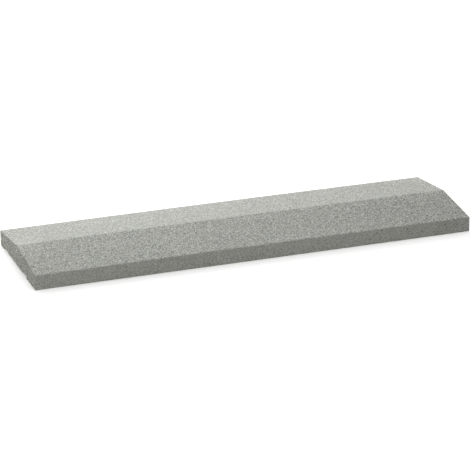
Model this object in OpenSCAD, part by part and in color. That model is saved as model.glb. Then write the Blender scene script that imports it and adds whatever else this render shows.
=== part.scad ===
// Wall coping stone in cast concrete, weathered both ways: the top falls to the front and
// to the back from a ridge along the middle, and a drip groove runs under each edge.
// Millimetres. The origin is the middle of the bed, +X runs along the wall and +Z is up.

/* [Stone] */
// Length of the stone along the wall
stone_length = 1000; // [300:10:1500]
// Width across the wall, from one edge face to the other
stone_width = 280; // [200:5:400]
// Height of the upright edge faces above the bed
edge_height = 34; // [25:1:80]
// Rise of each slope from the top of its edge face to the ridge
ridge_rise = 16; // [8:1:60]

/* [Drip grooves] */
// Distance from an edge face to the middle of its drip groove
groove_inset = 20; // [15:1:50]
// Width of a drip groove where it opens in the bed
groove_width = 10; // [6:1:16]
// Depth of a drip groove above the bed
groove_depth = 5; // [3:1:12]

/* [Arrises] */
// Radius along the ridge
ridge_radius = 12; // [8:1:60]
// Radius where a slope meets its edge face
eave_radius = 1.5; // [1:0.5:8]
// Radius along the foot of an edge face
foot_radius = 1.5; // [0.5:0.5:4]
// Width of the bevel round each square end
end_bevel = 1.5; // [0.5:0.5:4]

/* [Hidden] */
// Facets in a full circle
facets = 96;
// How far a cutter stands clear of what it cuts
clear = 1;
// How far the arc at a corner laps over the sides it meets, so that it leaves no sliver
lap = 0.001;

half_length = stone_length / 2;
half_width = stone_width / 2;
ridge_height = edge_height + ridge_rise;
slope_tilt = atan(ridge_rise / half_width);

// A groove at least half as deep as it is wide has a half-round roof over straight sides.
// A shallower one has a flatter arc across its full width.
half_groove = groove_width / 2;
deep_groove = groove_depth > half_groove;
groove_radius = deep_groove
    ? half_groove
    : (half_groove ^ 2 + groove_depth ^ 2) / (2 * groove_depth);

// Corners of the section across the wall, and the radius that each one is rounded to
SECTION = [
    [-half_width, 0],
    [-half_width, edge_height],
    [0, ridge_height],
    [half_width, edge_height],
    [half_width, 0]
];
SECTION_RADII = [foot_radius, eave_radius, ridge_radius, eave_radius, foot_radius];

// Each long face as the angle of its outward normal from +Z, turned about the length,
// and its distance from the middle of the bed
LONG_FACES = [
    [slope_tilt, ridge_height * cos(slope_tilt)],
    [-slope_tilt, ridge_height * cos(slope_tilt)],
    [90, half_width],
    [-90, half_width],
    [180, 0]
];

function unit(v) = v / norm(v);

// Half of the angle between the two sides that meet at corner
function half_angle(before, corner, after) =
    acos(unit(before - corner) * unit(after - corner)) / 2;

// Direction from corner into the section, half way between its two sides
function inward(before, corner, after) =
    unit(unit(before - corner) + unit(after - corner));

// Direction square to a side, away from the section that lies towards inside
function square_off(side, inside) = unit((inside * unit(side)) * unit(side) - inside);

// What rounding a corner takes off: from the corner down to an arc that touches both sides
module corner_waste(before, corner, after, radius) {
    inside = inward(before, corner, after);
    centre = corner + inside * radius / sin(half_angle(before, corner, after));
    difference() {
        polygon([
            centre,
            centre + (radius + clear) * square_off(before - corner, inside),
            corner - clear * inside,
            centre + (radius + clear) * square_off(after - corner, inside)
        ]);
        translate(centre) circle(r = radius + lap, $fn = facets);
    }
}

// The section of one drip groove, about its own middle line
module groove_section() {
    translate([0, groove_depth - groove_radius]) circle(r = groove_radius, $fn = facets);
    if (deep_groove)
        translate([-half_groove, -clear])
            square([groove_width, groove_depth - groove_radius + clear]);
}

// The section across the wall, with rounded corners and both drip grooves
module stone_section() {
    count = len(SECTION);
    difference() {
        polygon(SECTION);
        for (i = [0 : count - 1])
            corner_waste(
                SECTION[(i + count - 1) % count],
                SECTION[i],
                SECTION[(i + 1) % count],
                SECTION_RADII[i]
            );
        for (side = [-1, 1])
            translate([side * (half_width - groove_inset), 0]) groove_section();
    }
}

// A bar along the edge between a long face and an end, whose lower side cuts the bevel
module bevel_bar(face, end) {
    rotate([face[0], 0, 0])
        translate([end * half_length, 0, face[1]])
            rotate([0, end * 45, 0])
                translate([-2 * end_bevel, -stone_width, -end_bevel / sqrt(2)])
                    cube([4 * end_bevel, 2 * stone_width, 4 * end_bevel]);
}

// The whole stone, cast in one piece
module coping_stone() {
    color("darkgray")
        difference() {
            rotate([90, 0, 90])
                linear_extrude(height = stone_length, center = true) stone_section();
            for (end = [-1, 1], face = LONG_FACES) bevel_bar(face, end);
        }
}

coping_stone();
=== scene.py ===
"""A wall coping stone in cast concrete: its worn form, its sandy finish and a plain studio.

Everything is in metres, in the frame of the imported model: the origin is the middle of the
bed, +X runs along the stone, -Y is its front edge and +Z is up.
"""

import logging
import math
from dataclasses import dataclass
from enum import Enum
from typing import Any

import bpy
import numpy as np
from mathutils import Matrix, Vector


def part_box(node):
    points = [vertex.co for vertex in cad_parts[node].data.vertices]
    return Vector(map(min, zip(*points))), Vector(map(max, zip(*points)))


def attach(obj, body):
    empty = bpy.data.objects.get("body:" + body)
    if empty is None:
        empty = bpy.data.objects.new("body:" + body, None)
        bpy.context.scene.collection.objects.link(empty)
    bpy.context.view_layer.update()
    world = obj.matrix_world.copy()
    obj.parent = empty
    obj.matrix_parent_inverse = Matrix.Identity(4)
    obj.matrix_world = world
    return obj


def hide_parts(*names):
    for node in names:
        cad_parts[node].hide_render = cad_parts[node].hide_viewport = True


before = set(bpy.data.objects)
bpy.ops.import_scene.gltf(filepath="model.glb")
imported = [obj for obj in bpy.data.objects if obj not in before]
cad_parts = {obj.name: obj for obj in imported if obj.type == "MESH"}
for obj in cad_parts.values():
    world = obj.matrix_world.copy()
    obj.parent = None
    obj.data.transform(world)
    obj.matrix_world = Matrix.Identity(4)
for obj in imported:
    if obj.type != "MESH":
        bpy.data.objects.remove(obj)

log = logging.getLogger("coping")
MM = 0.001
STONE_NODE = "coping_stone"
Socket = bpy.types.NodeSocket
Place = tuple[float, float, float]
Span = tuple[float, float]

# A noise keeps mostly to this range, which the gain stretches to nearly -1 to 1
NOISE_RANGE: Span = (0.3, 0.7)
NOISE_GAIN = 4.0


# ---------------------------------------------------------------- building node trees


class Value:
    """A number or a vector in a node tree, which the usual signs of arithmetic work on."""

    def __init__(self, bench: "NodeBench", socket: Socket) -> None:
        """Hold an output socket, and the bench whose nodes work with it."""
        self.bench, self.socket = bench, socket

    def __add__(self, other: "Feed") -> "Value":
        """Return the sum."""
        return self.bench.maths("ADD", self, other)

    def __radd__(self, other: "Feed") -> "Value":
        """Return the sum, for a plain number in front."""
        return self.bench.maths("ADD", other, self)

    def __sub__(self, other: "Feed") -> "Value":
        """Return the difference."""
        return self.bench.maths("SUBTRACT", self, other)

    def __rsub__(self, other: "Feed") -> "Value":
        """Return the difference, for a plain number in front."""
        return self.bench.maths("SUBTRACT", other, self)

    def __mul__(self, other: "Feed") -> "Value":
        """Return the product, which for two vectors is taken part by part."""
        scales = is_vector(self) and not is_vector(other)
        return self.bench.scaled(self, other) if scales else self.bench.maths("MULTIPLY", self, other)

    def __truediv__(self, other: "Feed") -> "Value":
        """Return the quotient, which for two vectors is taken part by part."""
        return self.bench.maths("DIVIDE", self, other)

    def __pow__(self, power: "Feed") -> "Value":
        """Return the number raised to a power."""
        return self.bench.maths("POWER", self, power)

    def __abs__(self) -> "Value":
        """Return the number without its sign."""
        return self.bench.maths("ABSOLUTE", self)

    def at_least(self, least: "Feed") -> "Value":
        """Return the number, or the least one where it is smaller."""
        return self.bench.maths("MAXIMUM", self, least)


Feed = Value | Socket | float | int | bool | str | tuple[float, ...]


def is_vector(value: Feed) -> bool:
    """Return whether a value is a vector or a colour."""
    source = value.socket if isinstance(value, Value) else value
    return isinstance(source, tuple) or isinstance(source, Socket) and source.type in ("VECTOR", "RGBA")


class NodeBench:
    """Adds nodes to one tree and joins them up."""

    def __init__(self, tree: bpy.types.NodeTree) -> None:
        """Work on one node tree."""
        self.tree = tree

    def node(self, kind: str, feeds: dict[str | int, Feed] | None = None, **settings: Any) -> bpy.types.Node:
        """Add one node.

        Args:
            kind: the node's type in bpy.types.
            feeds: what each input gets, by its name or number: a socket to join or a value.
            settings: the node's own properties.

        Returns:
            The new node.
        """
        node = self.tree.nodes.new(kind)
        for name, value in settings.items():
            setattr(node, name, value)
        for key, value in (feeds or {}).items():
            self.feed(node.inputs[key], value)
        return node

    def feed(self, socket: Socket, value: Feed) -> None:
        """Join a socket to an input, or set the input's own value.

        Args:
            socket: the input.
            value: the output socket that feeds it, or its value.
        """
        if isinstance(value, Value):
            value = value.socket
        if isinstance(value, Socket):
            self.tree.links.new(value, socket)
        else:
            socket.default_value = value

    def result(self, kind: str, feeds: dict[str | int, Feed] | None = None, output: str | int = 0,
               **settings: Any) -> Value:
        """Return one output of a new node."""
        return Value(self, self.node(kind, feeds, **settings).outputs[output])

    def maths(self, operation: str, *values: Feed) -> Value:
        """Work with numbers in a Math node, or with vectors in a Vector Math node.

        Args:
            operation: the node's operation.
            values: its inputs, in order.

        Returns:
            The result.
        """
        vectors = any(is_vector(value) for value in values)
        kind = "ShaderNodeVectorMath" if vectors else "ShaderNodeMath"
        output = "Vector" if vectors and operation not in ("LENGTH", "DISTANCE") else "Value"
        return self.result(kind, dict(enumerate(values)), output, operation=operation)

    def scaled(self, vector: Feed, factor: Feed) -> Value:
        """Return a vector times a number."""
        feeds = {"Vector": vector, "Scale": factor}
        return self.result("ShaderNodeVectorMath", feeds, "Vector", operation="SCALE")

    def layered(self, start: Feed, layers: list[tuple[Feed, Feed]]) -> Value:
        """Lay layers over a start.

        Args:
            start: what they are added to.
            layers: each layer and its strength.

        Returns:
            The start plus every layer times its strength.
        """
        result = start
        for layer, strength in layers:
            result = self.maths("MULTIPLY_ADD", layer, strength, result)
        return result

    def split(self, vector: Feed) -> tuple[Value, Value, Value]:
        """Return a vector's three parts."""
        x, y, z = self.node("ShaderNodeSeparateXYZ", {0: vector}).outputs
        return Value(self, x), Value(self, y), Value(self, z)

    def joined(self, x: Feed, y: Feed, z: Feed) -> Value:
        """Return the vector of three numbers."""
        return self.result("ShaderNodeCombineXYZ", {0: x, 1: y, 2: z})

    def ramp(self, value: Feed, start: Feed, end: Feed, low: Feed = 0.0, high: Feed = 1.0,
             smooth: bool = False) -> Value:
        """Move a number from one range to another, and hold it inside that.

        Args:
            value: the number.
            start: the number that gives low.
            end: the number that gives high.
            low: what the new range starts with.
            high: what the new range ends with.
            smooth: whether the change eases in and out.

        Returns:
            The moved number.
        """
        feeds = {"Value": value, "From Min": start, "From Max": end, "To Min": low, "To Max": high}
        kind = "SMOOTHSTEP" if smooth else "LINEAR"
        return self.result("ShaderNodeMapRange", feeds, "Result", interpolation_type=kind)

    def noise(self, place: Feed, lump: float, seed: Feed, detail: float = 2.0,
              roughness: float = 0.5) -> Value:
        """Fill space with a soft noise.

        Args:
            place: the position, in metres.
            lump: the size of its lumps, in metres.
            seed: which noise it is.
            detail: how many finer layers lie on it.
            roughness: how strong the finer layers are.

        Returns:
            The noise at the position, from 0 to 1 with its middle at 0.5.
        """
        feeds = {"Vector": place, "W": seed, "Scale": 1 / lump}
        feeds |= {"Detail": detail, "Roughness": roughness}
        return self.result("ShaderNodeTexNoise", feeds, noise_dimensions="4D")

    def swing(self, place: Feed, lump: float, seed: Feed, detail: float = 2.0,
              roughness: float = 0.5) -> Value:
        """Return the same noise around 0, so that it mostly stays between -1 and 1."""
        return self.noise(place, lump, seed, detail, roughness) * NOISE_GAIN - NOISE_GAIN / 2

    def cells(self, place: Feed, size: float, scatter: float = 1.0) -> bpy.types.Node:
        """Return a node that fills space with cells of a size, strewn evenly at a scatter of 0."""
        feeds = {"Vector": place, "Scale": 1 / size, "Randomness": scatter}
        return self.node("ShaderNodeTexVoronoi", feeds, feature="F1")

    def draw(self, cells: bpy.types.Node, number: int) -> Value:
        """Return one of the three random numbers from 0 to 1 that each cell has."""
        return self.result("ShaderNodeSeparateColor", {0: cells.outputs["Color"]}, number)


class ShapeTree(NodeBench):
    """A Geometry Nodes tree with named inputs, which can be put on an object as a modifier."""

    def __init__(self, name: str, sizes: dict[str, float]) -> None:
        """Start a tree.

        Args:
            name: the tree's name.
            sizes: the name and value of each of its inputs.
        """
        super().__init__(bpy.data.node_groups.new(name, "GeometryNodeTree"))
        self.sizes = sizes
        sockets = self.tree.interface
        sockets.new_socket("Geometry", in_out="INPUT", socket_type="NodeSocketGeometry")
        sockets.new_socket("Geometry", in_out="OUTPUT", socket_type="NodeSocketGeometry")
        sockets.new_socket("Finish", in_out="INPUT", socket_type="NodeSocketMaterial")
        for size, value in sizes.items():
            sockets.new_socket(size, in_out="INPUT", socket_type="NodeSocketFloat").default_value = value
        self.inlet = self.tree.nodes.new("NodeGroupInput")

    def given(self, name: str) -> Value:
        """Return one of the tree's inputs."""
        return Value(self, self.inlet.outputs[name])

    def store(self, geometry: Feed, name: str, value: Value, kind: str = "FLOAT") -> Socket:
        """Keep a value with the mesh's points as a named attribute, and return the mesh."""
        feeds = {"Geometry": geometry, "Name": name, "Value": value}
        return self.node("GeometryNodeStoreNamedAttribute", feeds, data_type=kind).outputs[0]

    def moved(self, geometry: Socket, **place: Value) -> Socket:
        """Return the mesh with its points at a new Position, or at an Offset from the old one."""
        return self.node("GeometryNodeSetPosition", {"Geometry": geometry, **place}).outputs[0]

    def close(self, geometry: Socket) -> None:
        """End the tree: realize its instances and set its finish.

        Args:
            geometry: the mesh that the tree has made.
        """
        real = self.node("GeometryNodeRealizeInstances", {0: geometry}).outputs[0]
        feeds = {"Geometry": real, "Material": self.given("Finish")}
        dressed = self.node("GeometryNodeSetMaterial", feeds).outputs[0]
        outlet = self.tree.nodes.new("NodeGroupOutput")
        self.tree.links.new(dressed, outlet.inputs[0])

    def put_on(self, piece: bpy.types.Object, finish: bpy.types.Material) -> None:
        """Add the tree to an object as a modifier and set each input by its identifier.

        Args:
            piece: the object.
            finish: the material that the tree sets.
        """
        modifier = piece.modifiers.new(self.tree.name, "NODES")
        modifier.node_group = self.tree
        values = {**self.sizes, "Finish": finish}
        for item in self.tree.interface.items_tree:
            if item.item_type == "SOCKET" and item.in_out == "INPUT" and item.name in values:
                modifier[item.identifier] = values[item.name]


def as_plain_mesh(piece: bpy.types.Object) -> None:
    """Replace an object's mesh by what its modifiers make of it, and remove them.

    Args:
        piece: the object.
    """
    graph = bpy.context.evaluated_depsgraph_get()
    mesh = bpy.data.meshes.new_from_object(piece.evaluated_get(graph), depsgraph=graph)
    piece.modifiers.clear()
    old, piece.data = piece.data, mesh
    bpy.data.meshes.remove(old)
    mesh.name = piece.name


# ---------------------------------------------------------------- the stone's form


@dataclass(frozen=True)
class StoneSizes:
    """The sizes that the stone was cast to, in metres, and the radii that its arrises wore to."""

    length: float
    width: float
    edge_height: float = 34 * MM
    ridge_rise: float = 16 * MM
    groove_inset: float = 20 * MM
    groove_width: float = 10 * MM
    groove_depth: float = 5 * MM
    eave_radius: float = 1.4 * MM
    foot_radius: float = 1.0 * MM
    end_radius: float = 0.5 * MM

    @property
    def slope_tilt(self) -> float:
        """Return the angle of the slopes to the level, in radians."""
        return math.atan2(self.ridge_rise, self.width / 2)

    @property
    def ridge_height(self) -> float:
        """Return the height of the ridge above the bed."""
        return self.edge_height + self.ridge_rise


class Side(Enum):
    """A side of the block of cells: its axis, and whether it lies at the axis' high end."""

    TOP = (2, True)
    BED = (2, False)
    FRONT = (1, False)
    BACK = (1, True)
    LEFT_END = (0, False)
    RIGHT_END = (0, True)


@dataclass(frozen=True)
class Stretch:
    """A run of mesh cells of one spacing, or eased so that they crowd at its two ends."""

    cells: int
    span: Feed
    eased: bool = False


@dataclass(frozen=True)
class CellPlan:
    """How many mesh cells each stretch of the stone gets, counted from its middle or its bed."""

    ridge: int = 4
    slope: int = 38
    groove: int = 8
    margin: int = 4
    eave: int = 6
    middle: int = 144
    near_end: int = 5
    at_end: int = 5
    foot: int = 5
    edge: int = 14
    top_edge: int = 6
    ridge_span: float = 6 * MM
    eave_span: float = 4.8 * MM
    foot_span: float = 4 * MM
    near_end_span: float = 7.5 * MM
    at_end_span: float = 4 * MM

    @property
    def half_across(self) -> int:
        """Return the cells from the ridge to an edge face."""
        return self.ridge + self.slope + self.groove + self.margin + self.eave

    @property
    def half_along(self) -> int:
        """Return the cells from the middle of the stone to an end."""
        return self.middle + self.near_end + self.at_end

    @property
    def up(self) -> int:
        """Return the cells from the bed to the top of an edge face."""
        return self.foot + self.edge + self.top_edge

    def last_cell(self, side: Side) -> int:
        """Find where a side of the block lies.

        Args:
            side: the side.

        Returns:
            The cell number of its points along the side's axis.
        """
        axis, high = side.value
        if axis == 2:
            return self.up if high else 0
        half = self.half_across if axis == 1 else self.half_along
        return half if high else -half


@dataclass(frozen=True)
class StoneForm:
    """The stone as cast, with square arrises: a block of cells bent to the stone's section."""

    sizes: StoneSizes
    plan: CellPlan

    def tree(self) -> ShapeTree:
        """Make the tree that makes the form from its named sizes.

        Returns:
            The tree, which keeps each point's cell numbers with the mesh.
        """
        s = self.sizes
        tree = ShapeTree("stone_form", {
            "Length": s.length, "Width": s.width, "Edge Height": s.edge_height,
            "Ridge Rise": s.ridge_rise, "Groove Inset": s.groove_inset,
            "Groove Width": s.groove_width, "Groove Depth": s.groove_depth})
        cell = tree.result("GeometryNodeInputPosition")
        kept = tree.store(self.block(tree), "cell", cell, "FLOAT_VECTOR")
        tree.close(tree.moved(kept, Position=self.placed(tree, cell)))
        return tree

    def block(self, tree: ShapeTree) -> Socket:
        """Make a closed block whose points lie at whole cell numbers.

        Args:
            tree: the tree that it is made in.

        Returns:
            The block's mesh, with its bed at 0.
        """
        plan = self.plan
        cells = (2 * plan.half_along, 2 * plan.half_across, plan.up)
        feeds = {"Size": tuple(float(n) for n in cells)}
        feeds |= {f"Vertices {name}": n + 1 for name, n in zip("XYZ", cells)}
        cube = tree.node("GeometryNodeMeshCube", feeds).outputs["Mesh"]
        return tree.moved(cube, Offset=tree.joined(0.0, 0.0, plan.up / 2))

    def stations(self, tree: ShapeTree, count: Value, stretches: list[Stretch]) -> Value:
        """Turn a number of cells into a distance.

        Args:
            tree: the tree that it is worked out in.
            count: how many cells a line of the mesh is from the start.
            stretches: the stretches from the start onwards.

        Returns:
            How far the line is from the start, in metres.
        """
        distance: Feed = 0.0
        start = 0
        for stretch in stretches:
            share = tree.ramp(count, float(start), float(start + stretch.cells))
            if stretch.eased:
                share = 0.5 - tree.maths("COSINE", share * math.pi) * 0.5
            distance = share * stretch.span + distance
            start += stretch.cells
        return distance

    def placed(self, tree: ShapeTree, cell: Value) -> Value:
        """Turn a point's cell numbers into its place on the stone.

        Args:
            tree: the tree that it is worked out in.
            cell: the point's cell numbers.

        Returns:
            Where the point lies, in metres.
        """
        plan, given = self.plan, tree.given
        along, across, up = tree.split(cell)
        half_width, half_groove = given("Width") / 2, given("Groove Width") / 2
        groove_middle = half_width - given("Groove Inset")
        middle_span = given("Length") / 2 - (plan.near_end_span + plan.at_end_span)
        edge_span = given("Edge Height") - (plan.foot_span + plan.eave_span)

        far = self.stations(tree, abs(along), [
            Stretch(plan.middle, middle_span),
            Stretch(plan.near_end, plan.near_end_span),
            Stretch(plan.at_end, plan.at_end_span)])
        out = self.stations(tree, abs(across), [
            Stretch(plan.ridge, plan.ridge_span),
            Stretch(plan.slope, groove_middle - half_groove - plan.ridge_span),
            Stretch(plan.groove, given("Groove Width"), eased=True),
            Stretch(plan.margin, given("Groove Inset") - half_groove - plan.eave_span),
            Stretch(plan.eave, plan.eave_span)])
        height = self.stations(tree, up, [
            Stretch(plan.foot, plan.foot_span),
            Stretch(plan.edge, edge_span),
            Stretch(plan.top_edge, plan.eave_span)])

        roof = given("Edge Height") + given("Ridge Rise") - given("Ridge Rise") * (out / half_width)
        bed = self.groove_roof(tree, out - groove_middle, half_groove)
        share = height / given("Edge Height")
        return tree.joined(
            far * tree.maths("SIGN", along),
            out * tree.maths("SIGN", across),
            share * (roof - bed) + bed)

    def groove_roof(self, tree: ShapeTree, off: Value, half_groove: Value) -> Value:
        """Shape the underside, which is an arc in a drip groove and level outside it.

        Args:
            tree: the tree that it is worked out in.
            off: the distance from the groove's middle line.
            half_groove: half of the groove's width.

        Returns:
            The height of the underside.
        """
        room = half_groove * half_groove - off * off
        arc = tree.maths("SQRT", room.at_least(0.0))
        return arc * (tree.given("Groove Depth") / half_groove)


# ---------------------------------------------------------------- wear


@dataclass(frozen=True)
class Knock:
    """A place where an arris has broken off along a slanting face.

    The break meets the end, edge, bed or slope that it touches at a distance from the arris.
    A distance of 0 stands for a side that it doesn't touch.
    """

    middle: Place
    reach: Place
    end: float = 0.0
    edge: float = 0.0
    bed: float = 0.0
    slope: float = 0.0

    @property
    def lean(self) -> list[float]:
        """Return how much the break leans to the end, edge, bed and slope."""
        return [1 / cut if cut else 0.0 for cut in (self.end, self.edge, self.bed, self.slope)]


class WearNoise(Enum):
    """The noises of the wear, each with what its seed adds to the wear's own."""

    ARRIS = 0.0
    CHIPS = 7.0
    RIDGE = 19.0
    WAVE = 31.0
    RIPPLE = 43.0
    GRAIN = 59.0
    CRUMBLE = 71.0
    BREAK = 83.0


@dataclass(frozen=True)
class Wear:
    """How far casting, handling and weather have moved the surface, in metres.

    A lump is the width of one hollow of a noise. A span is where something starts and where it
    is full, and a fade is where it stops being full and where it ends.
    """

    # Arrises: how uneven their radius is, its least, and how far from them their wear fades
    arris: float = 0.4 * MM
    arris_lump: float = 14 * MM
    least_radius: float = 0.4 * MM
    arris_fade: Span = (4 * MM, 12 * MM)
    # Chips: which values of their noise make one, and its share away from the ends or the bed
    chip: float = 2.2 * MM
    chip_lump: float = 26 * MM
    chip_span: Span = (0.62, 0.74)
    chip_off_end: float = 0.4
    chip_off_bed: float = 0.3
    # Breaks: how ragged they are, as a share of their depth, and how they fade to their rim
    ragged: float = 0.16
    ragged_lump: float = 9 * MM
    rim_power: float = 3.0
    # Crumbled sand, and the paler tone, by how far the wear has moved a point
    crumble: float = 0.8 * MM
    crumble_lump: float = 5 * MM
    crumble_span: Span = (0.4 * MM, 2.5 * MM)
    pale_span: Span = (0.3 * MM, 1.6 * MM)
    # Faces
    wave: float = 0.3 * MM
    wave_lump: float = 130 * MM
    ripple: float = 0.14 * MM
    ripple_lump: float = 30 * MM
    grain: float = 0.1 * MM
    grain_lump: float = 4 * MM
    # The ridge: how soft it is, and by which factor that varies. The bow bends the whole top
    ridge_soft: float = 1.0 * MM
    ridge_lump: float = 40 * MM
    ridge_vary: Span = (0.4, 1.6)
    bow: float = 1.2 * MM
    # How strongly each face's sand is painted, which is its own colour and the painted shading of its
    # grains, stronger where the light grazes; and where the slopes change over at the ridge
    front_sand: float = 1.17
    back_sand: float = 1.02
    end_sand: float = 1.3
    edge_sand: float = 0.62
    ridge_change: Span = (-2 * MM, 2 * MM)
    seed: float = 4.0


# How closely a face points to a side, where it starts to count as that side and where it is full
FACING: Span = (0.5, 0.9)
# How far up a face points, where it is still the bed and where it is another face
OFF_BED: Span = (-0.6, -0.2)


@dataclass(frozen=True)
class StoneWear:
    """Breaks and rounds the stone's arrises by uneven amounts, and roughens every face."""

    sizes: StoneSizes
    wear: Wear
    knocks: list[Knock]

    def tree(self) -> ShapeTree:
        """Make the tree that wears a form with square arrises.

        Returns:
            The tree, which keeps what the finish asks for with the mesh's points.
        """
        s, w = self.sizes, self.wear
        tree = ShapeTree("stone_wear", {
            "Length": s.length, "Width": s.width, "Ridge Height": s.ridge_height,
            "Eave Radius": s.eave_radius, "Foot Radius": s.foot_radius,
            "End Radius": s.end_radius, "Arris Wear": w.arris, "Chip Depth": w.chip,
            "Crumble": w.crumble, "Wave": w.wave, "Ripple": w.ripple, "Grain": w.grain,
            "Ridge Softness": w.ridge_soft, "Bow": w.bow, "Seed": w.seed})
        cast = tree.result("GeometryNodeInputPosition")
        broken = cast + self.break_shift(tree, cast)
        rounded = broken + self.arris_shift(tree, broken)
        amount = tree.maths("DISTANCE", cast, rounded)
        place = rounded + self.ridge_shift(tree, cast) + self.bow_shift(tree, cast)
        place = place + self.face_shift(tree, cast, amount)
        on_end, on_top = self.sides(tree)
        kept = tree.store(tree.given("Geometry"), "as_cast", cast, "FLOAT_VECTOR")
        kept = tree.store(kept, "worn", tree.ramp(amount, *w.pale_span, smooth=True))
        kept = tree.store(kept, "at_end", on_end)
        kept = tree.store(kept, "on_top", on_top)
        # Where the drip grooves get painted shade
        kept = tree.store(kept, "groove_shade_mask", self.groove_shade_mask(tree, cast))
        # The sand's strength on each face: partly its colour, partly painted shading of its grains
        kept = tree.store(kept, "sand_and_grain_shade", self.sand_and_grain_shade(tree, cast, on_end, on_top))
        moved = tree.moved(kept, Position=place)
        tree.close(tree.node("GeometryNodeSetShadeSmooth", {"Geometry": moved}).outputs[0])
        return tree

    def seed(self, tree: ShapeTree, noise: WearNoise) -> Value:
        """Return the seed of one of the noises."""
        return tree.given("Seed") + noise.value

    def depths(self, tree: ShapeTree, place: Value) -> list[tuple[Value, Value]]:
        """Measure a point against the end, edge, bed and slope that are nearest to it.

        Args:
            tree: the tree that they are worked out in.
            place: the point.

        Returns:
            The outward direction of each of the four, and how deep the point lies below it.
        """
        tilt = self.sizes.slope_tilt
        x, y, z = tree.split(place)
        side_x, side_y = tree.maths("SIGN", x), tree.maths("SIGN", y)
        under = tree.given("Ridge Height") - z - abs(y) * math.tan(tilt)
        return [
            (tree.joined(side_x, 0.0, 0.0), tree.given("Length") / 2 - abs(x)),
            (tree.joined(0.0, side_y, 0.0), tree.given("Width") / 2 - abs(y)),
            (tree.joined(0.0, 0.0, -1.0), z),
            (tree.joined(0.0, side_y * math.sin(tilt), math.cos(tilt)), under * math.cos(tilt))]

    def sides(self, tree: ShapeTree) -> tuple[Value, Value]:
        """Return how much a point lies on an end, and how much on a slope, from 0 to 1."""
        x, _, z = tree.split(tree.result("GeometryNodeInputNormal"))
        return tree.ramp(abs(x), *FACING), tree.ramp(z, *FACING)

    def sand_and_grain_shade(self, tree: ShapeTree, place: Value, on_end: Value, on_top: Value) -> Value:
        """Work out how strongly the concrete's sand is painted on each face: its own colour, and the painted
        shading of its grains, which is stronger on the faces that the light grazes.

        Args:
            tree: the tree that it is worked out in.
            place: the point.
            on_end: how much the point lies on an end.
            on_top: how much it lies on a slope.

        Returns:
            The share of the sand's full strength.
        """
        w = self.wear
        _, y, _ = tree.split(place)
        top_sand = tree.ramp(y, *w.ridge_change, w.front_sand, w.back_sand)
        share = w.edge_sand + on_end * (w.end_sand - w.edge_sand)
        return share + on_top * (top_sand - w.edge_sand)

    def groove_shade_mask(self, tree: ShapeTree, place: Value) -> Value:
        """Find the points inside a drip groove, which get its painted shade.

        Args:
            tree: the tree that it is worked out in.
            place: the point.

        Returns:
            0 at the groove's mouth and outside it, and 1 from a shaded depth upwards, where the groove's
            painted shade is full.
        """
        s = self.sizes
        shaded, clear = 2 * MM, 0.2 * MM
        _, y, z = tree.split(place)
        middle = s.width / 2 - s.groove_inset
        across = tree.maths("LESS_THAN", abs(abs(y) - middle), s.groove_width / 2)
        below = tree.maths("LESS_THAN", z, s.groove_depth + clear)
        return across * below * tree.ramp(z, 0.0, shaded)

    def break_shift(self, tree: ShapeTree, place: Value) -> Value:
        """Move the points that the knocks reach straight in, on to the face of the break.

        Args:
            tree: the tree that it is worked out in.
            place: the point.

        Returns:
            How far the point moves.
        """
        w = self.wear
        faces = self.depths(tree, place)
        jag = tree.swing(place, w.ragged_lump, self.seed(tree, WearNoise.BREAK))
        shift = tree.joined(0.0, 0.0, 0.0)
        for knock in self.knocks:
            touched = [(*face, lean) for face, lean in zip(faces, knock.lean) if lean]
            far = tree.maths("LENGTH", (place - knock.middle) / knock.reach)
            slant = [(depth, -lean) for _, depth, lean in touched]
            over = tree.layered(1.0 - far ** w.rim_power, [*slant, (jag, w.ragged)])
            over = over.at_least(0.0) * (1 / sum(lean * lean for lean in knock.lean))
            for outward, _, lean in touched:
                shift = shift + outward * (over * -lean)
        return shift

    def radius(self, tree: ShapeTree, place: Value, depths: list[Value]) -> Value:
        """Work out the radius to which the arris near a point is worn.

        Args:
            tree: the tree that it is worked out in.
            place: the point.
            depths: how deep the point lies below the end, edge, bed and slope.

        Returns:
            The radius, with its unevenness and its chips.
        """
        w, given = self.wear, tree.given
        at_eave = tree.ramp(depths[1].at_least(depths[3]), *w.arris_fade, 1.0, 0.0, smooth=True)
        at_end = tree.ramp(depths[0], *w.arris_fade, 1.0, 0.0, smooth=True)
        at_bed = tree.ramp(depths[2], *w.arris_fade, 1.0, w.chip_off_bed, smooth=True)
        radius = given("Foot Radius") + at_eave * (given("Eave Radius") - given("Foot Radius"))
        radius = radius + at_end * (given("End Radius") - radius)
        seed = self.seed(tree, WearNoise.ARRIS)
        uneven = tree.swing(place, w.arris_lump, seed, detail=3.0, roughness=0.6)
        chips = tree.noise(place, w.chip_lump, self.seed(tree, WearNoise.CHIPS), detail=1.0)
        chips = tree.ramp(chips, *w.chip_span, smooth=True)
        chips = chips * (w.chip_off_end + at_end * (1 - w.chip_off_end)) * at_bed
        radius = radius + uneven * given("Arris Wear") + chips * given("Chip Depth")
        return radius.at_least(w.least_radius)

    def arris_shift(self, tree: ShapeTree, place: Value) -> Value:
        """Round the arrises.

        A point closer than the radius to two or more faces lies in a corner. It is drawn in
        towards the arc whose middle is one radius below each of those faces.

        Args:
            tree: the tree that it is worked out in.
            place: the point.

        Returns:
            How far the point moves.
        """
        not_zero = 0.001 * MM
        faces = self.depths(tree, place)
        radius = self.radius(tree, place, [depth for _, depth in faces])
        reach = [(radius - depth).at_least(0.0) for _, depth in faces]
        far = tree.maths("SQRT", sum(r * r for r in reach)).at_least(not_zero)
        shift = tree.joined(0.0, 0.0, 0.0)
        for (outward, _), r in zip(faces, reach):
            shift = shift - outward * r
        return shift * (1.0 - radius / far).at_least(0.0)

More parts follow.
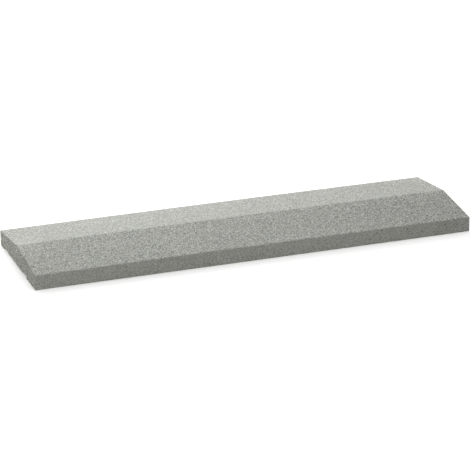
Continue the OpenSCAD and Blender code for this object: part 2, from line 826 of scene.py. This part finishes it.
    def ridge_shift(self, tree: ShapeTree, place: Value) -> Value:
        """Soften the ridge, by an uneven amount.

        Args:
            tree: the tree that it is worked out in.
            place: the point.

        Returns:
            How far the point is lowered.
        """
        w = self.wear
        _, y, z = tree.split(place)
        out = abs(y)
        uneven = tree.noise(place, w.ridge_lump, self.seed(tree, WearNoise.RIDGE))
        soft = tree.ramp(uneven, *NOISE_RANGE, *w.ridge_vary) * tree.given("Ridge Softness")
        drop = tree.maths("SQRT", out * out + soft * soft) - out
        share = z / tree.given("Ridge Height")
        return tree.joined(0.0, 0.0, drop * -math.tan(self.sizes.slope_tilt) * share)

    def bow_shift(self, tree: ShapeTree, place: Value) -> Value:
        """Bow the top: up by half of the bow in the middle, down by half of it at the ends.

        Args:
            tree: the tree that it is worked out in.
            place: the point.

        Returns:
            How far the point is lifted, which is nothing on the bed.
        """
        x, _, z = tree.split(place)
        along = x / (tree.given("Length") / 2)
        lift = (0.5 - along * along) * tree.given("Bow")
        return tree.joined(0.0, 0.0, lift * tree.ramp(z, 0.0, self.sizes.edge_height))

    def face_shift(self, tree: ShapeTree, place: Value, amount: Value) -> Value:
        """Roughen the faces with waves, ripples, grains and crumbling.

        Waves, ripples and grains rise above the cast faces as much as they sink below them, except
        on the bed, which they only raise. Crumbling only sinks.

        Args:
            tree: the tree that it is worked out in.
            place: the point.
            amount: how far the arris wear moves the point.

        Returns:
            How far the point moves.
        """
        w, given = self.wear, tree.given
        crumble = tree.ramp(amount, *w.crumble_span, smooth=True) * given("Crumble")
        hollows = [
            (given("Wave"), w.wave_lump, WearNoise.WAVE, 1.0),
            (given("Ripple"), w.ripple_lump, WearNoise.RIPPLE, 1.0),
            (given("Grain"), w.grain_lump, WearNoise.GRAIN, 1.0),
            (crumble, w.crumble_lump, WearNoise.CRUMBLE, 2.0)]
        depth = tree.layered(0.0, [
            (tree.noise(place, lump, self.seed(tree, noise), detail), size)
            for size, lump, noise, detail in hollows])
        normal = tree.result("GeometryNodeInputNormal")
        _, _, upward = tree.split(normal)
        middle = (given("Wave") + given("Ripple") + given("Grain")) / 2
        return normal * (middle * tree.ramp(upward, *OFF_BED) - depth)


# ---------------------------------------------------------------- the finish


@dataclass(frozen=True)
class PaintedLightPatch:
    """A soft patch of painted light or painted shade, paler or darker than the rest of the concrete."""

    middle: Place
    reach: Place
    tone: float


class Batch(Enum):
    """The batches of coarse grains, each by how many steps its pattern is moved."""

    DARK = 1.0
    PALE = 2.0


class FinishNoise(Enum):
    """The noises of the finish, each by its seed."""

    CLOUD = 1.0
    MOTTLE = 2.0
    SAND = 3.0
    WARMTH = 5.0
    BLOTCH = 6.0
    FINE = 8.0


@dataclass(frozen=True)
class ConcreteFinish:
    """The grey of cast concrete with its sand, pores and soft clouds, and with painted light and shade on
    it.

    A tone is how much paler a thing makes the plain colour, as a share of it, and less than 0
    where it is darker. A height is a share of the relief.
    """

    # Patches of painted light and shade
    painted_light: list[PaintedLightPatch]
    name: str = "sandy_concrete"
    colour: tuple[float, float, float] = (0.43, 0.436, 0.401)
    # Broad changes of tone, and of colour: warm patches, painted shade in the drip grooves and a painted
    # yellow tint of shade on the upright faces
    cloud: float = 0.018
    cloud_lump: float = 95 * MM
    mottle: float = 0.012
    mottle_lump: float = 16 * MM
    end_mottle: float = 0.28
    end_lump: float = 7 * MM
    worn_tone: float = 0.03
    # Painted shade inside the drip grooves, darker from their mouth inwards
    groove_painted_shade: float = -0.3
    warmth: float = 0.012
    warmth_lump: float = 22 * MM
    # A yellow tint of shade painted on the upright faces
    upright_shade_yellow: float = 0.019
    # The fine sand texture, and the nudges that make the outlines of grains and pores ragged
    sand: float = 0.17
    sand_lump: float = 2.6 * MM
    nudge: float = 2.4 * MM
    nudge_lump: float = 1.3 * MM
    # Packed grains, and the rim of their domes as a share of their size
    grain_size: float = 1.8 * MM
    grain_tone: float = 0.41
    grain_rim: float = 0.8
    # Single coarse grains, one batch dark and one pale, whose soft edge is a share of their radius
    speck_spacing: float = 4.4 * MM
    speck_scatter: float = 0.9
    speck_size: float = 2.4 * MM
    speck_edge: Span = (0.6, 1.4)
    batch_step: Place = (1.0, 1.7, 0.3)
    dark_speck: float = -0.45
    pale_speck: float = 0.5
    # Air pores: the draws that make one, its largest and least radius as shares of the spacing,
    # and the radius of its flat middle as a share of its own
    pore_spacing: float = 7 * MM
    pore_draws: Span = (0.6, 1.0)
    pore_radius: float = 0.16
    pore_least: float = 0.01
    pore_middle: float = 0.55
    # Painted shade in the hollow of each pore
    pore_painted_shade: float = -0.35
    # Gloss and relief
    roughness: float = 0.9
    rough_sand: float = 0.04
    gloss: float = 0.3
    relief: float = 0.30 * MM
    fine_lump: float = 1.6 * MM
    fine_height: float = 0.2
    sand_height: float = 0.3
    dome_height: float = 0.7
    pore_height: float = -1.2

    def material(self) -> bpy.types.Material:
        """Make the finish.

        Returns:
            A material that reads the piece's own coordinates and what its mesh keeps.
        """
        material = bpy.data.materials.new(self.name)
        material.use_nodes = True
        tree = NodeBench(material.node_tree)
        shader = material.node_tree.nodes["Principled BSDF"]
        place = tree.result("ShaderNodeTexCoord", output="Object")
        ragged = self.ragged(tree, place)
        grains, domes = self.grains(tree, ragged)
        pores = self.pores(tree, ragged)
        sand = tree.swing(place, self.sand_lump, FinishNoise.SAND.value, roughness=0.6)
        dark, pale = self.specks(tree, ragged, Batch.DARK), self.specks(tree, ragged, Batch.PALE)
        grit = tree.layered(sand * self.sand, [
            (grains, self.grain_tone), (dark, self.dark_speck), (pale, self.pale_speck)])
        tone = self.tone(tree, place, grit, pores)
        domes = domes + dark + pale
        tree.feed(shader.inputs["Base Color"], self.tinted(tree, place, tone))
        tree.feed(shader.inputs["Roughness"], sand * self.rough_sand + self.roughness)
        tree.feed(shader.inputs["Specular IOR Level"], self.gloss)
        tree.feed(shader.inputs["Normal"], self.bumps(tree, place, sand, domes, pores))
        return material

    def ragged(self, tree: NodeBench, place: Value) -> Value:
        """Nudge a point a little, so that what is strewn over it gets ragged outlines.

        Args:
            tree: the material's nodes.
            place: the point.

        Returns:
            The nudged point.
        """
        feeds = {"Vector": place, "Scale": 1 / self.nudge_lump, "Detail": 1.0}
        nudge = tree.result("ShaderNodeTexNoise", feeds, "Color") - (0.5, 0.5, 0.5)
        return place + nudge * self.nudge

    def grains(self, tree: NodeBench, place: Value) -> tuple[Value, Value]:
        """Pack the concrete with sand grains.

        Args:
            tree: the material's nodes.
            place: the point.

        Returns:
            The grains' tone, from -1 to 1, and their height, from 0 to 1.
        """
        cells = tree.cells(place, self.grain_size)
        tone = tree.draw(cells, 0) * 2.0 - 1.0
        return tone, tree.ramp(cells.outputs["Distance"], 0.0, self.grain_rim, 1.0, 0.0)

    def specks(self, tree: NodeBench, place: Value, batch: Batch) -> Value:
        """Strew single coarse grains.

        Args:
            tree: the material's nodes.
            place: the point.
            batch: which grains they are.

        Returns:
            1 in the middle of a grain and 0 between them.
        """
        away = place + tuple(batch.value * step for step in self.batch_step)
        cells = tree.cells(away, self.speck_spacing, self.speck_scatter)
        radius = self.speck_size / self.speck_spacing / 2
        inner, outer = (share * radius for share in self.speck_edge)
        return tree.ramp(cells.outputs["Distance"], inner, outer, 1.0, 0.0, smooth=True)

    def pores(self, tree: NodeBench, place: Value) -> Value:
        """Strew the air pores of the cast face.

        Args:
            tree: the material's nodes.
            place: the point.

        Returns:
            1 inside a pore and 0 outside.
        """
        cells = tree.cells(place, self.pore_spacing)
        radius = tree.ramp(tree.draw(cells, 1), *self.pore_draws, 0.0, self.pore_radius)
        inner = radius * self.pore_middle
        inside = tree.ramp(cells.outputs["Distance"], inner, radius, 1.0, 0.0, smooth=True)
        return inside * tree.maths("GREATER_THAN", radius, self.pore_least)

    def tone(self, tree: NodeBench, place: Value, grit: Value, pores: Value) -> Value:
        """Work out how much paler or darker than the plain colour a point is.

        Args:
            tree: the material's nodes.
            place: the point.
            grit: how much paler the sand and its coarse grains make it at their full strength.
            pores: the pores.

        Returns:
            The factor on the plain colour.
        """
        cloud = tree.swing(place, self.cloud_lump, FinishNoise.CLOUD.value, detail=3.0)
        mottle = tree.swing(place, self.mottle_lump, FinishNoise.MOTTLE.value)
        blotches = tree.swing(place, self.end_lump, FinishNoise.BLOTCH.value) * self.kept(tree, "at_end")
        layers = [
            (cloud, self.cloud),
            (mottle, self.mottle),
            (blotches, self.end_mottle),
            # The sand's own colour, and the painted shading of its grains, stronger where the light grazes
            (grit, self.kept(tree, "sand_and_grain_shade")),
            (self.kept(tree, "worn"), self.worn_tone),
            # Painted shade deep inside the drip grooves
            (self.kept(tree, "groove_shade_mask"), self.groove_painted_shade)]
        # Patches of painted light and shade
        for painted_patch in self.painted_light:
            far = tree.maths("LENGTH", (place - painted_patch.middle) / painted_patch.reach)
            layers.append((tree.ramp(far, 0.0, 1.0, 1.0, 0.0, smooth=True), painted_patch.tone))
        # The pores get painted shade in their hollows
        return tree.layered(1.0, [*layers, (pores, self.pore_painted_shade)])

    def kept(self, tree: NodeBench, name: str) -> Value:
        """Return a number that the mesh keeps with its points."""
        return tree.result("ShaderNodeAttribute", output="Fac", attribute_name=name)

    def tinted(self, tree: NodeBench, place: Value, tone: Value) -> Value:
        """Work out the colour of a point.

        Args:
            tree: the material's nodes.
            place: the point.
            tone: the factor on the plain colour.

        Returns:
            The colour, a little warmer in places, and yellower on the upright faces, where the tint of their
            shade is painted.
        """
        warmth = tree.swing(place, self.warmth_lump, FinishNoise.WARMTH.value) * self.warmth
        # Painted tint of shade: the upright faces, which are not on top, are painted yellower
        blue = 1.0 - self.upright_shade_yellow - warmth + self.kept(tree, "on_top") * self.upright_shade_yellow
        return tree.joined(1.0 + warmth, 1.0, blue) * self.colour * tone

    def bumps(self, tree: NodeBench, place: Value, sand: Value, domes: Value, pores: Value) -> Value:
        """Give the surface the fine relief of the sand and pores.

        Args:
            tree: the material's nodes.
            place: the point.
            sand: the fine sand texture.
            domes: how high the grains stand.
            pores: the pores.

        Returns:
            The surface normal.
        """
        fine = tree.swing(place, self.fine_lump, FinishNoise.FINE.value, detail=1.0)
        height = tree.layered(sand * self.sand_height, [
            (fine, self.fine_height), (domes, self.dome_height), (pores, self.pore_height)])
        feeds = {"Height": height, "Strength": 1.0, "Distance": self.relief}
        return tree.result("ShaderNodeBump", feeds)


# ---------------------------------------------------------------- the stone


@dataclass(frozen=True)
class Strip:
    """A band of the bake map, in which one side of the stone is laid out flat."""

    side: Side
    bottom: float
    height: float
    left: float = 0.0
    right: float = 1.0


@dataclass(frozen=True)
class FlatMap:
    """A map of the whole stone for baking: six sides, each in one piece and none over another.

    The bed is squeezed to a share of its width, because nobody sees it closely.
    """

    plan: CellPlan
    name: str = "OFBake"
    margin: float = 0.006
    bed_share: float = 0.6

    def lay(self, mesh: bpy.types.Mesh) -> None:
        """Add the map to the stone's mesh.

        Args:
            mesh: the finished mesh, with its cell numbers and its places as cast.
        """
        cell = np.rint(self.values(mesh, "cell")).astype(int)
        cast = self.values(mesh, "as_cast")
        corners = np.empty(len(mesh.loops), np.int32)
        mesh.loops.foreach_get("vertex_index", corners)
        corners = corners.reshape(len(mesh.polygons), -1)
        places = np.full((*corners.shape, 2), np.nan, np.float32)
        for strip in self.strips(cell, cast):
            axis, _ = strip.side.value
            own = (cell[corners, axis] == self.plan.last_cell(strip.side)).all(axis=1)
            flat = self.flattened(strip.side, cell, cast)[corners[own]]
            low, high = flat.min(axis=(0, 1)), flat.max(axis=(0, 1))
            box_low = np.array([strip.left, strip.bottom]) + self.margin
            box_high = np.array([strip.right, strip.bottom + strip.height]) - self.margin
            places[own] = box_low + (flat - low) / (high - low) * (box_high - box_low)
        layer = mesh.uv_layers.new(name=self.name)
        layer.uv.foreach_set("vector", places.ravel())

    def values(self, mesh: bpy.types.Mesh, name: str) -> np.ndarray:
        """Read a vector that the mesh keeps with its points.

        Args:
            mesh: the mesh.
            name: the attribute's name.

        Returns:
            The vector of each point, one row for each.
        """
        found = np.empty(len(mesh.vertices) * 3, np.float32)
        mesh.attributes[name].data.foreach_get("vector", found)
        return found.reshape(-1, 3)

    def flattened(self, side: Side, cell: np.ndarray, cast: np.ndarray) -> np.ndarray:
        """Lay one side of the stone out flat, as it is seen from outside.

        Args:
            side: the side.
            cell: each point's cell numbers.
            cast: each point's place on the stone as cast.

        Returns:
            Where each point lies on the flat side, across and up.
        """
        x, y, z = cast.T
        if side in (Side.TOP, Side.BED):
            row = (cell[:, 2] == self.plan.last_cell(side)) & (cell[:, 0] == 0)
            line = cast[row][np.argsort(cell[row, 1])][:, 1:]
            steps = np.linalg.norm(np.diff(line, axis=0), axis=1)
            run = np.concatenate([[0.0], np.cumsum(steps)])
            out = run[cell[:, 1] + self.plan.half_across]
            return np.stack([x, out if side is Side.TOP else -out], axis=1)
        if side in (Side.FRONT, Side.BACK):
            return np.stack([x if side is Side.FRONT else -x, z], axis=1)
        return np.stack([y if side is Side.RIGHT_END else -y, z], axis=1)

    def strips(self, cell: np.ndarray, cast: np.ndarray) -> list[Strip]:
        """Share out the map among the sides.

        Args:
            cell: each point's cell numbers.
            cast: each point's place on the stone as cast.

        Returns:
            The bands that fill the map, each as high as its side is wide.
        """
        rows = [[Side.TOP], [Side.FRONT], [Side.BACK], [Side.BED], [Side.LEFT_END, Side.RIGHT_END]]
        heights = []
        for row in rows:
            axis, _ = row[0].value
            own = cell[:, axis] == self.plan.last_cell(row[0])
            across = self.flattened(row[0], cell, cast)[own, 1]
            heights.append(float(np.ptp(across)) * (self.bed_share if row[0] is Side.BED else 1.0))
        bottom = 0.0
        strips = []
        for row, height in zip(rows, heights):
            share = height / sum(heights)
            for place, side in enumerate(row):
                strips.append(Strip(side, bottom, share, place / len(row), (place + 1) / len(row)))
            bottom += share
        return strips


@dataclass(frozen=True)
class CopingStone:
    """The whole coping stone, cast in one piece."""

    sizes: StoneSizes
    plan: CellPlan = CellPlan()
    wear: Wear = Wear()

    def knocks(self) -> list[Knock]:
        """List the places where this stone's arrises have broken.

        Returns:
            Three knocks along the foot of the left end, one at its ridge and two at the right end.
        """
        s = self.sizes
        left, right, back = -s.length / 2, s.length / 2, s.width / 2
        wide = 40 * MM
        return [
            Knock((left, -55 * MM, 0.0), (wide, 22 * MM, wide), end=11 * MM, bed=8 * MM),
            Knock((left, 22 * MM, 0.0), (wide, 96 * MM, wide), end=3.8 * MM, bed=3.8 * MM),
            Knock((left, 88 * MM, 0.0), (wide, 24 * MM, wide), end=8 * MM, bed=6 * MM),
            Knock((left, 0.0, s.ridge_height), (wide, 12 * MM, wide), end=2.5 * MM, slope=2 * MM),
            Knock((right, -30 * MM, 0.0), (wide, 18 * MM, wide), end=6 * MM, bed=5 * MM),
            Knock((right, back, 0.0), (14 * MM,) * 3, end=7 * MM, edge=6 * MM, bed=5 * MM)]

    def painted_light(self) -> list[PaintedLightPatch]:
        """List the patches of painted light and shade on this stone.

        Returns:
            Three broad ones along the front, paler to the left and darker to the right, and three small ones
            at the left end.
        """
        s = self.sizes
        left, right, front = -s.length / 2, s.length / 2, -s.width / 2
        return [
            # Painted shade: the front face darker towards its right end
            PaintedLightPatch((right, front, 20 * MM), (320 * MM, 90 * MM, 80 * MM), -0.12),
            # Painted light: the front face paler towards its left end
            PaintedLightPatch((left, front, 17 * MM), (360 * MM, 12 * MM, 40 * MM), 0.07),
            # Painted shade: the front slope darker towards the right end
            PaintedLightPatch((right, 0.45 * front, 42 * MM), (560 * MM, 90 * MM, 60 * MM), -0.09),
            # Painted shade: the left end darker below its top arris, in its front half
            PaintedLightPatch((left, 0.5 * front, 40 * MM), (8 * MM, 90 * MM, 20 * MM), -0.14),
            # Painted light thrown up from the floor: the left end paler at its foot
            PaintedLightPatch((left, 0.5 * front, 0.0), (8 * MM, 160 * MM, 20 * MM), 0.12),
            # Painted light: the slopes paler at the left end
            PaintedLightPatch((left, 0.0, s.ridge_height), (80 * MM, 120 * MM, 20 * MM), 0.13)]

    def build(self) -> bpy.types.Object:
        """Make the stone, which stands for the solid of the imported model.

        Returns:
            The finished stone.
        """
        piece = bpy.data.objects.new("worn_coping_stone", bpy.data.meshes.new("start"))
        bpy.context.scene.collection.objects.link(piece)
        material = ConcreteFinish(self.painted_light()).material()
        StoneForm(self.sizes, self.plan).tree().put_on(piece, material)
        StoneWear(self.sizes, self.wear, self.knocks()).tree().put_on(piece, material)
        as_plain_mesh(piece)
        FlatMap(self.plan).lay(piece.data)
        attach(piece, "root")
        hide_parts(STONE_NODE)
        return piece


# ---------------------------------------------------------------- the studio


@dataclass(frozen=True)
class Lamp:
    """A square soft box: where it hangs, how wide it is and its power in watts."""

    name: str
    place: Place
    width: float
    watts: float

    def hang(self) -> None:
        """Add the lamp to the scene, turned to the stone."""
        light = bpy.data.lights.new(self.name, "AREA")
        light.size, light.energy = self.width, self.watts
        lamp = bpy.data.objects.new(self.name, light)
        lamp.location = self.place
        lamp.rotation_euler = (-Vector(self.place)).to_track_quat("-Z", "Y").to_euler()
        bpy.context.scene.collection.objects.link(lamp)


@dataclass(frozen=True)
class Viewpoint:
    """Where the camera stands, by its angles round the stone and above the level, in degrees.

    The distance, and the aim's place beside and above the stone's origin, are in metres. The lens
    and the sensor are in millimetres.
    """

    azimuth: float = -20.19
    elevation: float = 21.28
    roll: float = 0.03
    distance: float = 5.2085
    aim_right: float = -0.0035
    aim_up: float = 0.0061
    lens: float = 180.6
    sensor: float = 36.0
    sight: Span = (0.1, 100.0)

    def place_camera(self) -> None:
        """Add the camera and make it the scene's own."""
        a, e = math.radians(self.azimuth), math.radians(self.elevation)
        back = Vector((math.sin(a) * math.cos(e), -math.cos(a) * math.cos(e), math.sin(e)))
        turn = (-back).to_track_quat("-Z", "Y").to_matrix()
        turn = turn @ Matrix.Rotation(math.radians(self.roll), 3, "Z")
        aim = turn @ Vector((self.aim_right, self.aim_up, 0.0))
        camera = bpy.data.objects.new("camera", bpy.data.cameras.new("camera"))
        camera.data.lens, camera.data.sensor_width = self.lens, self.sensor
        camera.data.clip_start, camera.data.clip_end = self.sight
        camera.matrix_world = Matrix.Translation(aim + back * self.distance) @ turn.to_4x4()
        bpy.context.scene.collection.objects.link(camera)
        bpy.context.scene.camera = camera


@dataclass(frozen=True)
class Studio:
    """A white floor, an even world and three soft boxes.

    The floor is brighter than white where it is seen, so that the thin outer part of the stone's
    shadow is lost in the white. It throws less light back at the stone than it shows, so that the
    upright faces stay dark.
    """

    lamps: tuple[Lamp, ...] = (
        Lamp("back_box", (0.616, 2.898, 0.469), width=0.8, watts=73.2),
        Lamp("left_box", (-0.42, 0.3, 0.5), width=0.25, watts=0.54),
        Lamp("end_box", (-0.75, 0.3, 0.12), width=0.3, watts=0.27))
    floor_reach: float = 12.0
    floor_seen: float = 1.45
    floor_bounce: float = 0.43
    floor_glow: float = 0.075
    floor_roughness: float = 0.9
    ambient: float = 0.683

    def build(self) -> None:
        """Make the floor, the world, the lamps and the view settings."""
        self.floor()
        self.world()
        for lamp in self.lamps:
            lamp.hang()
        bpy.context.scene.view_settings.view_transform = "Standard"

    def seen(self, tree: NodeBench) -> Value:
        """Tell what the camera sees, itself or in gloss or glass, from other light.

        Args:
            tree: the nodes that ask.

        Returns:
            1 for what is seen and 0 for other light.
        """
        path = tree.node("ShaderNodeLightPath").outputs
        direct = tree.maths("MAXIMUM", path["Is Camera Ray"], path["Is Glossy Ray"])
        return direct.at_least(path["Is Transmission Ray"])

    def floor(self) -> None:
        """Make the floor, which keeps the stone's soft shadow."""
        half = self.floor_reach / 2
        corners = [(-half, -half, 0.0), (half, -half, 0.0), (half, half, 0.0), (-half, half, 0.0)]
        mesh = bpy.data.meshes.new("floor")
        mesh.from_pydata(corners, [], [(0, 1, 2, 3)])
        floor = bpy.data.objects.new("floor", mesh)
        bpy.context.scene.collection.objects.link(floor)
        material = bpy.data.materials.new("pale_floor")
        material.use_nodes = True
        tree = NodeBench(material.node_tree)
        shader = material.node_tree.nodes["Principled BSDF"]
        seen = self.seen(tree)
        grey = tree.ramp(seen, 0.0, 1.0, self.floor_bounce, self.floor_seen)
        tree.feed(shader.inputs["Base Color"], tree.joined(grey, grey, grey))
        tree.feed(shader.inputs["Roughness"], self.floor_roughness)
        tree.feed(shader.inputs["Specular IOR Level"], 0.0)
        tree.feed(shader.inputs["Emission Color"], (1.0, 1.0, 1.0, 1.0))
        tree.feed(shader.inputs["Emission Strength"], seen * self.floor_glow)
        mesh.materials.append(material)

    def world(self) -> None:
        """Light the scene evenly from all round, in front of a white background."""
        world = bpy.data.worlds.new("studio")
        world.use_nodes = True
        bpy.context.scene.world = world
        tree = NodeBench(world.node_tree)
        background = world.node_tree.nodes["Background"]
        tree.feed(background.inputs["Color"], (1.0, 1.0, 1.0, 1.0))
        tree.feed(background.inputs["Strength"], tree.ramp(self.seen(tree), 0.0, 1.0, self.ambient, 1.0))


def main() -> None:
    """Build the studio and the stone, and report what was made."""
    logging.basicConfig(level=logging.INFO, format="%(message)s")
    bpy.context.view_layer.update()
    low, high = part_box(STONE_NODE)
    sizes = StoneSizes(length=high[0] - low[0], width=high[1] - low[1])
    Viewpoint().place_camera()
    Studio().build()
    stone = CopingStone(sizes).build()
    faces = sum(len(face.vertices) - 2 for face in stone.data.polygons)
    log.info("%s: %d points, %d triangles", stone.name, len(stone.data.vertices), faces)


if __name__ == "__main__":
    main()
